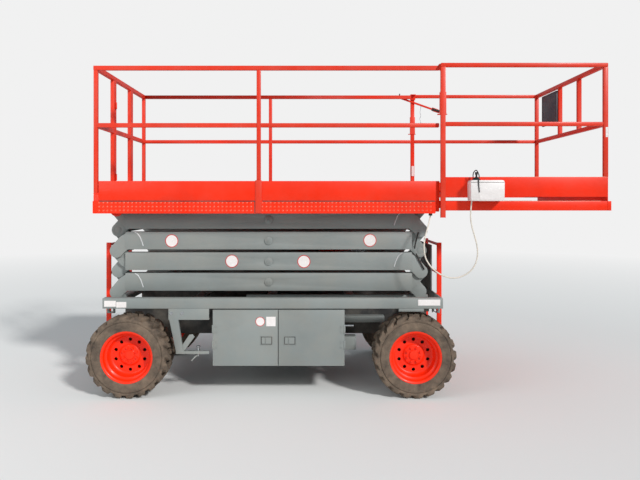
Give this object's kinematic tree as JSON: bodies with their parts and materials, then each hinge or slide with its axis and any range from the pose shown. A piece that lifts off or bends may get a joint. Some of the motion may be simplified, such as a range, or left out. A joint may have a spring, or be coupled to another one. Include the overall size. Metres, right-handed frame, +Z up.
{
  "type": "rough-terrain scissor lift",
  "caption": "Self-propelled four-wheel scissor lift with railed platform, roll-out extension deck and swing-out cabinets, stowed.",
  "frame": {"origin": "on the ground midway between the axles", "axes": "+X to the front, where the extension runs out, +Z up"},
  "size_m": [4.4599, 1.87, 2.8469],
  "materials": {
    "tyre_rubber": "dusty worn rubber",
    "orange_paint": "gloss orange-red paint",
    "grey_paint": "satin grey paint",
    "dark_metal": "dark painted cast parts",
    "bright_steel": "bright rod",
    "white_plastic": "moulded white plastic",
    "dark_plastic": "dark plastic",
    "black_rubber": "black rubber",
    "cream_cord": "cream cable sheath"
  },
  "bodies": {
    "chassis": {"chassis_frame": "grey_paint", "chassis_tracks": "grey_paint", "engine_block": "dark_metal", "cabinet_near": "grey_paint", "cabinet_far": "grey_paint", "rear_axle": "dark_metal", "front_axle": "dark_metal", "steering_cylinder": "dark_metal", "ladder_front": "orange_paint", "ladder_rear": "orange_paint", "spine_beams": "dark_metal", "cradles": "grey_paint", "front_supports": "dark_metal"},
    "steering_rod": {"steering_rod": "bright_steel"},
    "knuckle_near": {"knuckle_near": "dark_metal"},
    "knuckle_far": {"knuckle_far": "dark_metal"},
    "wheel_front_near": {"tyre_front_near": "tyre_rubber", "rim_front_near": "orange_paint"},
    "wheel_front_far": {"tyre_front_far": "tyre_rubber", "rim_front_far": "orange_paint"},
    "wheel_rear_near": {"tyre_rear_near": "tyre_rubber", "rim_rear_near": "orange_paint"},
    "wheel_rear_far": {"tyre_rear_far": "tyre_rubber", "rim_rear_far": "orange_paint"},
    "door_near_rear": {"door_near_rear": "grey_paint"},
    "door_near_front": {"door_near_front": "grey_paint"},
    "door_far_rear": {"door_far_rear": "grey_paint"},
    "door_far_front": {"door_far_front": "grey_paint"},
    "arms_low_outer": {"arms_low_outer": "grey_paint"},
    "arms_low_inner": {"arms_low_inner": "grey_paint"},
    "arms_second_inner": {"arms_second_inner": "grey_paint"},
    "arms_second_outer": {"arms_second_outer": "grey_paint"},
    "arms_third_outer": {"arms_third_outer": "grey_paint"},
    "arms_third_inner": {"arms_third_inner": "grey_paint"},
    "arms_top_inner": {"arms_top_inner": "grey_paint"},
    "arms_top_outer": {"arms_top_outer": "grey_paint"},
    "lift_barrel": {"lift_barrel": "dark_metal"},
    "lift_rod": {"lift_rod": "bright_steel"},
    "platform": {"deck_frame": "orange_paint", "deck_tracks": "orange_paint", "deck_side_beams": "orange_paint", "deck_floor": "orange_paint", "skirt_panels": "orange_paint", "toe_boards": "orange_paint", "main_posts": "orange_paint", "main_rails": "orange_paint", "cord_clip": "dark_metal"},
    "gate": {"gate": "orange_paint"},
    "extension": {"extension_floor": "orange_paint", "extension_front": "orange_paint", "extension_front_rails": "orange_paint", "extension_lever": "orange_paint", "extension_posts": "orange_paint", "extension_side_beams": "orange_paint", "extension_side_rails": "orange_paint", "extension_toe_boards": "orange_paint", "document_box": "dark_plastic", "control_box": "white_plastic", "joystick": "black_rubber", "cord": "cream_cord"}
  },
  "joints": [
    {"name": "lift", "type": "hinge", "parent": "chassis", "child": "arms_low_outer", "pos_m": [-1.397, 0, 0.858], "axis": [0, -1, 0], "range_deg": [0, 58]},
    {"name": "low_cross", "type": "hinge", "parent": "arms_low_outer", "child": "arms_low_inner", "pos_m": [-0.04, 0, 0.95], "axis": [0, -1, 0], "range_deg": [-116, 0]},
    {"name": "second_rear_pin", "type": "hinge", "parent": "arms_low_inner", "child": "arms_second_inner", "pos_m": [-1.397, 0, 1.042], "axis": [0, -1, 0], "range_deg": [0, 116]},
    {"name": "second_cross", "type": "hinge", "parent": "arms_second_inner", "child": "arms_second_outer", "pos_m": [-0.04, 0, 1.134], "axis": [0, -1, 0], "range_deg": [-116, 0]},
    {"name": "third_rear_pin", "type": "hinge", "parent": "arms_second_outer", "child": "arms_third_outer", "pos_m": [-1.397, 0, 1.226], "axis": [0, -1, 0], "range_deg": [0, 116]},
    {"name": "third_cross", "type": "hinge", "parent": "arms_third_outer", "child": "arms_third_inner", "pos_m": [-0.04, 0, 1.318], "axis": [0, -1, 0], "range_deg": [-116, 0]},
    {"name": "top_rear_pin", "type": "hinge", "parent": "arms_third_inner", "child": "arms_top_inner", "pos_m": [-1.397, 0, 1.41], "axis": [0, -1, 0], "range_deg": [0, 116]},
    {"name": "top_cross", "type": "hinge", "parent": "arms_top_inner", "child": "arms_top_outer", "pos_m": [-0.04, 0, 1.502], "axis": [0, -1, 0], "range_deg": [-116, 0]},
    {"name": "platform_pin", "type": "hinge", "parent": "arms_top_outer", "child": "platform", "pos_m": [-1.397, 0, 1.594], "axis": [0, -1, 0], "range_deg": [0, 58]},
    {"name": "cylinder_foot", "type": "hinge", "parent": "arms_low_inner", "child": "lift_barrel", "pos_m": [-0.93562, 0, 1.01072], "axis": [0, -1, 0], "range_deg": [0, 122.6]},
    {"name": "cylinder_stroke", "type": "slide", "parent": "lift_barrel", "child": "lift_rod", "axis": [0.9949, 0, 0.1012], "range_m": [0, 0.7432]},
    {"name": "extension_roll", "type": "slide", "parent": "platform", "child": "extension", "axis": [1, 0, 0], "range_m": [-1.38, 0]},
    {"name": "gate_hinge", "type": "hinge", "parent": "platform", "child": "gate", "pos_m": [-1.4847, -0.302, 1.8], "axis": [0, 0, -1], "range_deg": [0, 90]},
    {"name": "door_hinge_near_rear", "type": "hinge", "parent": "chassis", "child": "door_near_rear", "pos_m": [-0.505, -0.8, 0.5], "axis": [0, 0, -1], "range_deg": [0, 100]},
    {"name": "door_hinge_near_front", "type": "hinge", "parent": "chassis", "child": "door_near_front", "pos_m": [0.625, -0.8, 0.5], "axis": [0, 0, 1], "range_deg": [0, 100]},
    {"name": "door_hinge_far_rear", "type": "hinge", "parent": "chassis", "child": "door_far_rear", "pos_m": [-0.505, 0.8, 0.5], "axis": [0, 0, 1], "range_deg": [0, 100]},
    {"name": "door_hinge_far_front", "type": "hinge", "parent": "chassis", "child": "door_far_front", "pos_m": [0.625, 0.8, 0.5], "axis": [0, 0, -1], "range_deg": [0, 100]},
    {"name": "steering_far", "type": "hinge", "parent": "chassis", "child": "knuckle_far", "pos_m": [1.22, 0.52, 0.35], "axis": [0, 0, 1], "range_deg": [-30, 30]},
    {"name": "steering_near", "type": "hinge", "parent": "chassis", "child": "knuckle_near", "pos_m": [1.22, -0.52, 0.35], "axis": [0, 0, 1], "range_deg": [-30, 30]},
    {"name": "steering_stroke", "type": "slide", "parent": "chassis", "child": "steering_rod", "axis": [0, 1, 0], "range_m": [-0.066, 0.066]},
    {"name": "wheel_spin_front_near", "type": "hinge", "parent": "knuckle_near", "child": "wheel_front_near", "pos_m": [1.22, -0.7475, 0.35], "axis": [0, 1, 0], "continuous": true},
    {"name": "wheel_spin_front_far", "type": "hinge", "parent": "knuckle_far", "child": "wheel_front_far", "pos_m": [1.22, 0.7475, 0.35], "axis": [0, 1, 0], "continuous": true},
    {"name": "wheel_spin_rear_near", "type": "hinge", "parent": "chassis", "child": "wheel_rear_near", "pos_m": [-1.22, -0.7475, 0.35], "axis": [0, 1, 0], "continuous": true},
    {"name": "wheel_spin_rear_far", "type": "hinge", "parent": "chassis", "child": "wheel_rear_far", "pos_m": [-1.22, 0.7475, 0.35], "axis": [0, 1, 0], "continuous": true}
  ],
  "couplings": [
    {"joint": "low_cross", "follows": "lift", "ratio": -2},
    {"joint": "second_rear_pin", "follows": "lift", "ratio": 2},
    {"joint": "second_cross", "follows": "lift", "ratio": -2},
    {"joint": "third_rear_pin", "follows": "lift", "ratio": 2},
    {"joint": "third_cross", "follows": "lift", "ratio": -2},
    {"joint": "top_rear_pin", "follows": "lift", "ratio": 2},
    {"joint": "top_cross", "follows": "lift", "ratio": -2},
    {"joint": "platform_pin", "follows": "lift", "ratio": 1},
    {"joint": "cylinder_foot", "follows": "lift", "ratio": 2.1135},
    {"joint": "cylinder_stroke", "follows": "lift", "m_per_rad": 0.73371},
    {"joint": "steering_near", "follows": "steering_far", "ratio": 1},
    {"joint": "steering_stroke", "follows": "steering_far", "m_per_rad": 0.12414}
  ]
}
